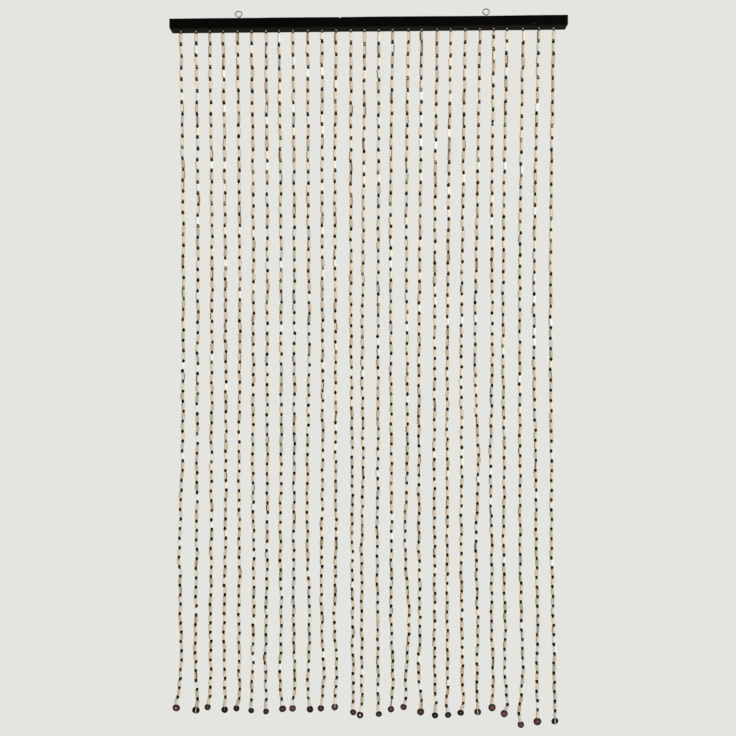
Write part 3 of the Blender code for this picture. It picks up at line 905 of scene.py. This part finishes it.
tape_along = np.linspace(-TAPE_LENGTH / 2, TAPE_LENGTH / 2, TAPE_STATIONS)
ripple = 0.12 * MM * (np.sin(95 * tape_along) + np.sin(151 * tape_along + 1.0))
section = rounded_bar(TAPE_WIDTH, TAPE_THICKNESS, TAPE_CORNER, 3)
tape_rise = (TAPE_TOP - TAPE_THICKNESS / 2 + ripple)[:, None]
tape_points = hung(tape_along[:, None], section[:, 1] + tape_rise, section[:, 0])
caps = [tape_points[end].mean(axis=0) + np.zeros((1, len(section), 3)) for end in (0, -1)]
tape_points = np.concatenate([caps[0], tape_points, caps[1]])
tape_faces = grid_faces(len(tape_points), len(section), False, True)
make_piece("tape", tape_points, tape_faces, webbing_finish, ("bead_strings",), weld=True)

# %% [markdown]
# ## Shell discs
# Each disc is cut from dark shell, drilled in the middle and rubbed smooth: slightly domed on both
# faces, thin at the rim. It is a turned form, so a closed profile is carried round its middle. The
# rim is almost black, and most discs show redder towards the hole.

# %% The finish of the discs
DISC_REDNESS = (
    0.7, 0.05, 0.4, 0.05, 0.1, 0.05, 0.2, 0.4, 0.8, 0.15, 0.2, 0.5, 0.35, 0.05,
    0.15, 0.5, 0.45, 0.5, 0.05, 0.2, 0.1, 0.4, 0.75, 0.85, 0.7, 0.6, 0.05,
)
shell = Finish("polished_shell", {"Specular IOR Level": 0.08})
flecks = shell.noise(shell.places((1.0, 1.0, 0.5)), 800, 3.0, 0.6)
clouds = shell.noise(shell.places(), 260, 2.0)
middle = 1 - shell.mark("out").step(0.25, 0.85)
red_share = shell.mark("red") * middle * (0.6 + 0.8 * clouds)
fleck_share = flecks.step(0.60, 0.72) * 0.25
colour = shell.coat(ink(12, 8, 6), (red_share, ink(128, 78, 68)), (fleck_share, ink(96, 60, 50)))
shell_finish = shell.feed(colour, Roughness=0.28 + 0.25 * clouds, Normal=shell.bump(flecks, 0.0001, 0.4))

# %% Turn the discs
DISC_SIDES = 32
HUB_HOLE = 1.3 * MM
# share of the way from hole to rim, and share of the half thickness
DISC_PROFILE = (
    (0.00, 0.70), (0.06, 0.92), (0.30, 1.00), (0.60, 0.92), (0.82, 0.74), (0.94, 0.50), (0.99, 0.22),
)
front_half = np.array(DISC_PROFILE)
disc_profile = np.concatenate([front_half * (1, -1), front_half[::-1]])


def disc_points(number):
    """Point (place on profile, side) = hub + out * (cos * up + sin * across) + through * back."""
    out = HUB_HOLE + disc_profile[:, 0] * (disc_radii[number] - HUB_HOLE)
    through = disc_profile[:, 1] * DISC_HALF
    angles = ring_angles(DISC_SIDES)
    wobble = 1 + 0.012 * np.sin(3 * angles + number)
    ring = np.cos(angles)[:, None] * disc_up[number] + np.sin(angles)[:, None] * disc_across[number]
    flat = (out[:, None] * wobble[None])[..., None] * ring[None]
    return disc_hubs[number] + flat + through[:, None, None] * disc_back[number]


disc_shape = (len(disc_profile), DISC_SIDES)
disc_faces = grid_faces(*disc_shape, True, True)
far_out = np.broadcast_to(disc_profile[:, :1], disc_shape)
for number, name in enumerate(disc_names):
    marks = {"out": far_out, "red": np.full(disc_shape, DISC_REDNESS[number])}
    make_piece("shell_" + name, disc_points(number), disc_faces, shell_finish, (name,), marks)

# %% [markdown]
# ## The screw eyes
# A screw eye is one piece of wire bent into a ring above a threaded shank. The ring's upper half is
# half an ellipse, and its lower sides run almost straight to the neck. The path of the wire's middle
# is a formula of one angle, and the wire is a ring carried along it.

# %% The finish of the wire
zinc = Finish("dull_zinc", {"Metallic": 1.0})
tarnish = zinc.noise(zinc.places(), 500, 3.0, 0.6)
colour = zinc.mix(tarnish.step(0.35, 0.7), ink(150, 150, 146), ink(96, 95, 91))
zinc_finish = zinc.feed(colour, Roughness=0.34 + 0.3 * tarnish, Normal=zinc.bump(tarnish, 0.00008, 0.5))

# %% Bend the eyes
EYE_PLACES = {"eye_left": -0.295, "eye_right": 0.267}
EYE_WIRE_RADIUS = 1.2 * MM
EYE_HALF_WIDTH = 7.8 * MM
EYE_UPPER_HEIGHT = 6.4 * MM
EYE_LOWER_HEIGHT = 7.6 * MM
EYE_LOWER_POWER = 1.35
EYE_CENTRE = EYE_WIRE_RADIUS - EYE_UPPER_HEIGHT
EYE_LOOP_STATIONS = 60
EYE_SIDES = 12
EYE_START = -0.46 * math.pi
EYE_TURN = 1.87 * math.pi


def eye_path():
    """From the shank up to the neck and round the ring, whose lower half is |x|^p + |z|^p = 1."""
    angles = EYE_START + EYE_TURN * np.arange(EYE_LOOP_STATIONS) / (EYE_LOOP_STATIONS - 1)
    across, up = np.cos(angles), np.sin(angles)
    power = np.where(up < 0, 2 / EYE_LOWER_POWER, 1.0)
    height = np.where(up < 0, EYE_LOWER_HEIGHT, EYE_UPPER_HEIGHT)
    x = EYE_HALF_WIDTH * np.sign(across) * np.abs(across) ** power
    level = EYE_CENTRE + height * np.sign(up) * np.abs(up) ** power
    neck = EYE_CENTRE - EYE_LOWER_HEIGHT
    shank = np.linspace(GROOVE_FLOOR - 11.8 * MM, neck - 0.8 * MM, 8)
    return np.concatenate([0 * shank, x]), np.concatenate([shank, level])


for name, place in EYE_PLACES.items():
    off, level = eye_path()
    path = hung(place + off, level)
    girth = np.full(len(path), EYE_WIRE_RADIUS)
    girth[-3:] *= (0.97, 0.9, 0.7)
    path, girth = taper_shut(path, girth)
    points = tube_along(path, girth, EYE_SIDES, (0.0, 1.0, 0.0))
    faces = tube_faces(len(path), EYE_SIDES)
    make_piece("wire_" + name, points, faces, zinc_finish, (name,), weld=True, crease=60)

# %% [markdown]
# ## The batten
# The batten is a square bar of wood, planed, drilled for each string, grooved along its top and
# painted black. Its section is carried along its length, with the groove only where the strings
# are. The strip along the middle of the underside is left open there, and so is the groove's floor.
# Each string's cell of them is filled from a rectangle inwards to its round hole, and the hole's
# wall joins the two.

# %% The batten's stations and section
CELL_STEPS = 16
EDGE_ROUND = 0.9 * MM
EDGE_POINTS = 5
HOLE_RADIUS = 1.7 * MM
# how far out from a hole the bare wood and its painted shade reach
HOLE_SHADE_RADIUS = 2.9 * MM
MID_STEP = 7.5 * MM  # of one more point between the groove and the edge
HALF_DEPTH = BATTEN_DEPTH / 2
HALF_GROOVE = GROOVE_WIDTH / 2
middles = (hole_places[1:] + hole_places[:-1]) / 2
cell_edges = np.array([-GROOVE_LENGTH / 2, *middles, GROOVE_LENGTH / 2])
cell_steps = np.linspace(0.0, 1.0, CELL_STEPS + 1)
cell_stations = cell_edges[:-1, None] + np.diff(cell_edges)[:, None] * cell_steps


def batten_section(depth):
    """Points round the section from the back of the strip underneath, by the back and the top.

    depth is the groove's: 0 leaves the top whole. Each point is a y and a level.
    """
    top, foot = BATTEN_TOP, BATTEN_FOOT
    inner = HALF_DEPTH - EDGE_ROUND
    low_corner = (inner, foot + EDGE_ROUND) + quarter(-math.pi / 2, EDGE_ROUND, EDGE_POINTS)
    high_corner = (inner, top - EDGE_ROUND) + quarter(0.0, EDGE_ROUND, EDGE_POINTS)
    third = (top - foot) / 3
    back = np.concatenate(
        [
            [(HALF_GROOVE, foot), (MID_STEP, foot)],
            low_corner,
            [(HALF_DEPTH, foot + third), (HALF_DEPTH, top - third)],
            high_corner,
            [(MID_STEP, top), (HALF_GROOVE, top), (HALF_GROOVE, top - depth)],
        ]
    )
    front = back[::-1] * (-1, 1)
    return np.concatenate([back, [(0.0, top - depth)], front, [(0.0, foot)]])


# %% [markdown]
# The finish comes next: thin matt black paint on planed wood. Grain shows through it as faint
# streaks, pale specks and scratches lie on the front, and the paint is rubbed brown along some edges.
# The underside is painted less black, as painted light from the floor, and bare reddish wood shows
# round the holes, darkened with painted shade.

# %% The finish of the batten
paint = Finish("black_paint", {"Specular IOR Level": 0.015})
where = paint.places(turn=ALONG_BATTEN)
grain = paint.noise(paint.places((0.02, 1.0, 1.0), ALONG_BATTEN), 700, 4.0, 0.6)
specks = paint.noise(where, 520, 2.0, 0.6).step(0.70, 0.78)
scratches = paint.noise(paint.places((0.06, 1.0, 1.0), ALONG_BATTEN), 330, 2.0).step(0.70, 0.76)
patches = paint.noise(where, 34, 3.0, 0.6)
rubbed = paint.mark("edge") * paint.noise(where, 240, 3.0, 0.6).step(0.58, 0.72)
colour = paint.coat(
    ink(2, 2, 2),
    (grain, ink(7, 7, 6)),
    # the underside painted less black: painted light from the floor
    (paint.mark("under"), ink(27, 26, 20)),
    (specks * patches.step(0.5, 0.7) * 0.4, ink(120, 116, 108)),
    (scratches * patches.step(0.45, 0.6) * 0.22, ink(110, 104, 96)),
    (rubbed * 0.55, ink(78, 56, 42)),
    # bare reddish wood round the holes and down their walls, darkened with painted shade
    (paint.mark("bare"), paint.mix(grain, ink(84, 34, 30), ink(48, 18, 18))),
)
paint_relief = paint.bump(grain + 0.5 * scratches, 0.00012, 0.6)
paint_finish = paint.feed(colour, Roughness=0.50 + 0.25 * grain, Normal=paint_relief)

# %% Shape the batten
END_LENGTH = (BATTEN_LENGTH - GROOVE_LENGTH) / 2
SECTION_POINTS = len(batten_section(0.0))
STRIP = SECTION_POINTS - 2  # the section's last two spans are the strip underneath
FLOOR = SECTION_POINTS // 2 - 2  # the two spans that are the groove's floor
NICK_PLACE = -0.0650
NICK_WIDTH = 2.2 * MM
NICK_DEPTH = 1.8 * MM
NICK_BACK = -7 * MM  # how far back from the front edge it reaches
PLANING_WAVE = 0.10 * MM
SAG_PLACE = 0.235
SAG_WIDTH = 0.07
SAG_DEPTH = 0.5 * MM
FLOOR_LIGHT_REACH = 10.0 * MM  # the painted floor light underneath reaches this far forward of the middle


def batten_grid():
    """Rows of the section: caps and rounded ends, a whole bar, then the grooved length between."""
    turn = np.linspace(0.0, math.pi / 2, 4)
    inset = EDGE_ROUND * (1 - np.sin(turn))
    end_along = -BATTEN_LENGTH / 2 + EDGE_ROUND * (1 - np.cos(turn))
    whole = batten_section(0.0)
    grooved = batten_section(BATTEN_TOP - GROOVE_FLOOR)
    centre = np.array([0.0, (BATTEN_TOP + BATTEN_FOOT) / 2])
    shrunk = [centre + (whole - centre) * (1 - shrink / HALF_DEPTH) for shrink in inset]
    left = [centre + 0 * whole, *shrunk, whole, whole]
    left_along = [-BATTEN_LENGTH / 2, *end_along, -BATTEN_LENGTH / 2 + END_LENGTH / 2, cell_edges[0]]
    inner = np.unique(np.round(cell_stations.ravel(), 9))
    sections = left + [grooved] * inner.size + left[::-1]
    along = [*left_along, *inner, *(-np.array(left_along[::-1]))]
    return np.array(along), np.array(sections), len(left), inner.size


def cell_ring(number, level):
    """The outline of a string's cell, in the same order as the points round its hole."""
    stations = cell_stations[number]
    back_again = stations[::-1]
    x = np.concatenate([stations, stations[-1:], back_again, stations[:1]])
    y = HALF_GROOVE * np.concatenate([-np.ones(stations.size), [0], np.ones(stations.size), [0]])
    return np.stack([x, y, np.full(x.size, level)], axis=1)


def hole_ring(number, radius, level, points):
    """As many points round the hole, starting where the cell's outline starts."""
    angles = 2 * math.pi * (np.arange(points) + 1) / points + math.pi
    x = hole_places[number] + radius * np.cos(angles)
    return np.stack([x, radius * np.sin(angles), np.full(points, level)], axis=1)


def cell_grid(number):
    """Outline, the outer ring of the bare wood and its painted shade, and hole underneath, then hole and
    outline at the groove's floor.
    """
    low, high = cell_ring(number, BATTEN_FOOT), cell_ring(number, GROOVE_FLOOR)
    rings = ((HOLE_SHADE_RADIUS, BATTEN_FOOT), (HOLE_RADIUS, BATTEN_FOOT), (HOLE_RADIUS, GROOVE_FLOOR))
    return np.stack([low, *(hole_ring(number, radius, level, len(low)) for radius, level in rings), high])


def uneven(points):
    """Small waves of a planed bar, and the nick in its top edge. Takes and gives x, y, level."""
    x, y, level = points[..., 0], points[..., 1], points[..., 2]
    wave = np.sin(21 * x) + 0.6 * np.sin(53 * x + 1.0) + 0.3 * np.sin(140 * x + 2.0)
    upper = np.clip((level - BATTEN_FOOT) / (BATTEN_TOP - BATTEN_FOOT), 0, 1)
    sink = NICK_DEPTH * np.exp(-(((x - NICK_PLACE) / NICK_WIDTH) ** 2))
    sink = sink * (upper > 0.9) * (y < NICK_BACK)
    sag = SAG_DEPTH * np.exp(-(((x - SAG_PLACE) / SAG_WIDTH) ** 2)) * upper
    moved_y = y + PLANING_WAVE * wave * np.sign(y) * (np.abs(y) > HALF_GROOVE + MM)
    moved_level = level + PLANING_WAVE * np.sin(33 * x + 0.7) * upper - sink - sag
    return np.stack([x, moved_y, moved_level], axis=-1)


along, sections, end_rows, inner_rows = batten_grid()
bar = np.concatenate([np.broadcast_to(along[:, None, None], (*sections.shape[:2], 1)), sections], axis=2)
bar_faces = grid_faces(len(along), SECTION_POINTS, False, True).reshape(len(along) - 1, SECTION_POINTS, 4)
kept = np.ones(bar_faces.shape[:2], bool)
grooved_rows = slice(end_rows, end_rows + inner_rows - 1)
kept[grooved_rows, [STRIP, STRIP + 1, FLOOR, FLOOR + 1]] = False
cells = np.array([cell_grid(number) for number in numbers])
cell_points = cells.shape[2]
cell_faces = copies_of(grid_faces(5, cell_points, False, True), STRING_COUNT, 5 * cell_points)
bar_points = bar.reshape(-1, 3)
batten_points = uneven(np.concatenate([bar_points, cells.reshape(-1, 3)]))
batten_faces = np.concatenate([bar_faces[kept], cell_faces + len(bar_points)])


def on_cells(*rows):
    """One number for each of a cell's five rows, spread over the points of all the cells."""
    return np.broadcast_to(np.array(rows)[None, :, None], cells.shape[:3]).ravel()


# painted floor light along the underside, but not on the strip just behind the front edge
floor_lit_under = np.clip(1 - (bar_points[:, 2] - BATTEN_FOOT) / EDGE_ROUND, 0, 1)
floor_lit_under[bar_points[:, 1] < -FLOOR_LIGHT_REACH] = 0.0
from_edge = np.minimum(
    np.abs(np.abs(bar_points[:, 1]) - HALF_DEPTH),
    np.minimum(np.abs(bar_points[:, 2] - BATTEN_TOP), np.abs(bar_points[:, 2] - BATTEN_FOOT)),
)
on_corner = (from_edge > 0.02 * MM) & (from_edge < 0.98 * EDGE_ROUND)
# bare wood with painted shade round the holes, rubbed edges, and painted floor light underneath
marks = {
    "bare": np.concatenate([0 * floor_lit_under, on_cells(0, 0, 1, 1, 0)]),
    "edge": np.concatenate([on_corner, on_cells(0, 0, 0, 0, 0)]),
    "under": np.concatenate([floor_lit_under, on_cells(1, 1, 1, 0, 0)]),
}
points = hung(batten_points[:, 0], batten_points[:, 2], batten_points[:, 1])
make_piece("painted_batten", points, batten_faces, paint_finish, ("batten",), marks, True)

# %% [markdown]
# ## Floor, air and light
# A pale floor lies at the height of a real doorway's, just below the picture. The air around is the
# same pale grey as the photograph's wall, so that the curtain hangs before it from every side. One
# broad lamp at the front right and a weaker one at the front left keep shadows faint. The camera
# doesn't see them.

# %% Lay the floor
FLOOR_LEVEL = -2.05
FLOOR_CORNERS = ((-1.6, -2.4), (1.6, -2.4), (1.6, 0.8), (-1.6, 0.8))

plaster = Finish("pale_floor", {"Roughness": 0.8, "Specular IOR Level": 0.2})
clouds = plaster.noise(plaster.places(), 3.0, 4.0)
floor_colour = plaster.mix(clouds, ink(222, 222, 218), ink(232, 232, 228))
floor_mesh = bpy.data.meshes.new("floor")
floor_mesh.from_pydata([(x, y, FLOOR_LEVEL) for x, y in FLOOR_CORNERS], [], [(0, 1, 2, 3)])
floor_mesh.materials.append(plaster.feed(floor_colour))
floor = bpy.data.objects.new("floor", floor_mesh)
bpy.context.scene.collection.objects.link(floor)
print("floor at", FLOOR_LEVEL)

# %% Light the scene
AIR = ink(228, 229, 224)
# name, place, what it faces, width, watts
LAMPS = (
    ("key", (2.6, -2.0, 0.5), (0.0, 0.0, -0.7), 1.6, 52),
    ("fill", (-0.9, -1.6, 0.9), (0.0, 0.0, -0.1), 1.2, 7),
)

world = bpy.data.worlds.new("air")
world.use_nodes = True
world.node_tree.nodes["Background"].inputs["Color"].default_value = AIR
world.node_tree.nodes["Background"].inputs["Strength"].default_value = 1.0
bpy.context.scene.world = world
bpy.context.scene.view_settings.view_transform = "Standard"


def aim(item, target):
    """Turns a lamp's -Z to a point."""
    direction = np.array(target) - np.array(item.location)
    flat = math.hypot(direction[0], direction[1])
    item.rotation_euler = (math.atan2(flat, -direction[2]), 0.0, math.atan2(-direction[0], direction[1]))


for name, place, target, width, watts in LAMPS:
    lamp = bpy.data.lights.new(name, "AREA")
    lamp.size = width
    lamp.energy = watts
    item = bpy.data.objects.new(name, lamp)
    item.location = place
    aim(item, target)
    item.visible_camera = False
    bpy.context.scene.collection.objects.link(item)
print("lamps", len(LAMPS))
